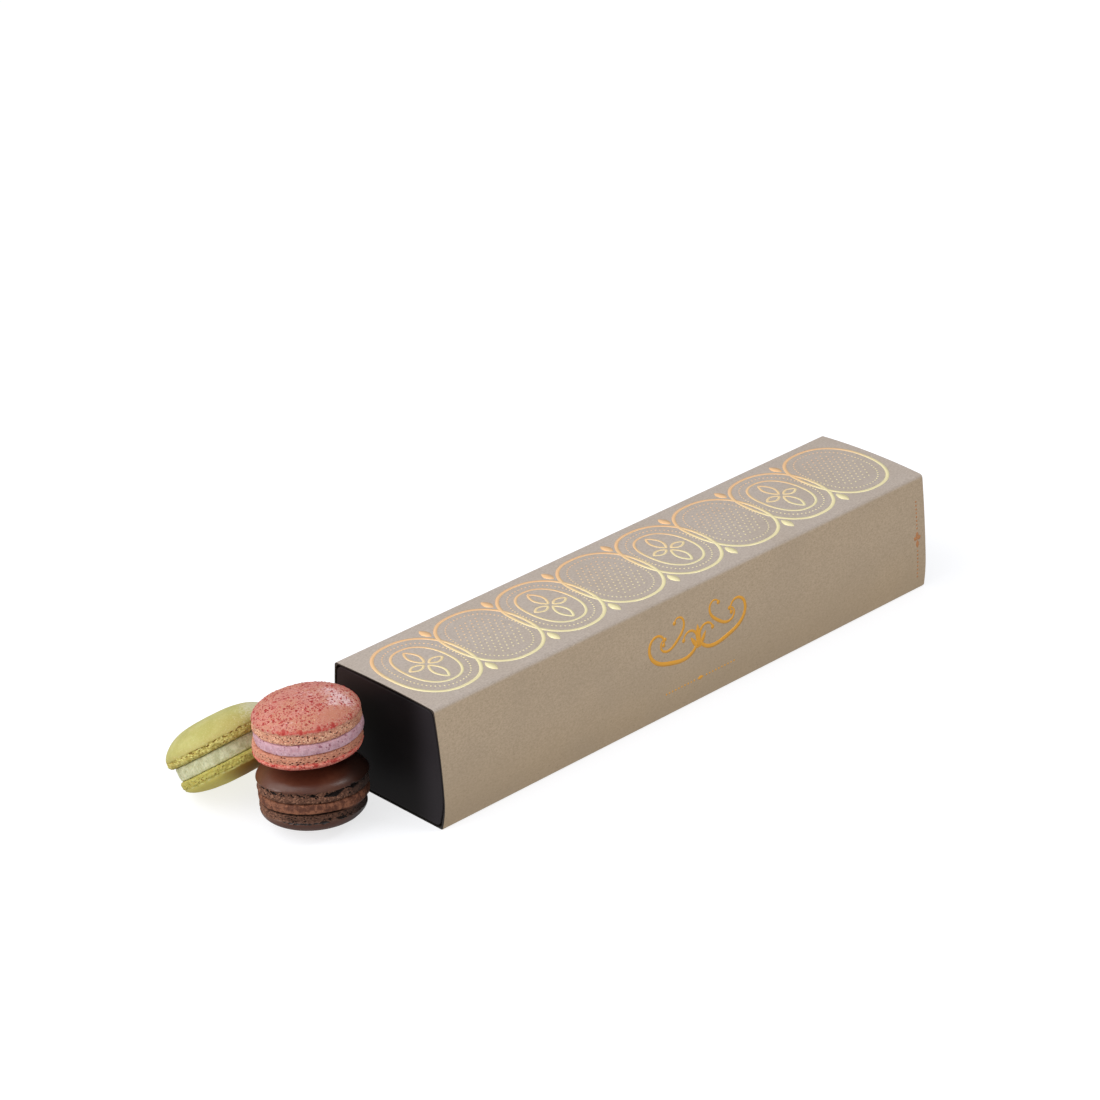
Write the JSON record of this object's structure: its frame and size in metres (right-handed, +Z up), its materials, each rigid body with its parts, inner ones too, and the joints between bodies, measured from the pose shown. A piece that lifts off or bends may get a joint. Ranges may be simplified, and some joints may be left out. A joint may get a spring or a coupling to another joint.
{
  "type": "box of macarons",
  "caption": "Long shut kraft card sleeve box with a black inner tray, and macarons stacked and leaning at its near end.",
  "frame": {"origin": "centre of the sleeve's underside", "axes": "+X along the sleeve, away from the end where the macarons lie; +Y to the back, away from the long side seen in the picture; +Z up"},
  "size_m": [0.323, 0.1073, 0.0533],
  "materials": {
    "kraft_card": "matt uncoated kraft card with fine fibres",
    "black_card": "smooth satin black card",
    "foil": "hot pressed copper to pale gold foil lines",
    "brown_shell": "baked almond shell, dark brown, smooth dome and rough foot",
    "brown_filling": "matt brown ganache",
    "pink_shell": "baked almond shell, salmon pink with red specks",
    "lilac_filling": "soft lilac cream",
    "green_shell": "baked almond shell, yellow green, smooth dome and rough foot",
    "cream_filling": "pale cream, slightly fibrous"
  },
  "bodies": {
    "root": {"sleeve": "kraft_card", "tray": "black_card", "brown_top_shell": "brown_shell", "brown_filling": "brown_filling", "brown_bottom_shell": "brown_shell", "pink_top_shell": "pink_shell", "pink_filling": "lilac_filling", "pink_bottom_shell": "pink_shell", "green_top_shell": "green_shell", "green_filling": "cream_filling", "green_bottom_shell": "green_shell"}
  },
  "joints": []
}
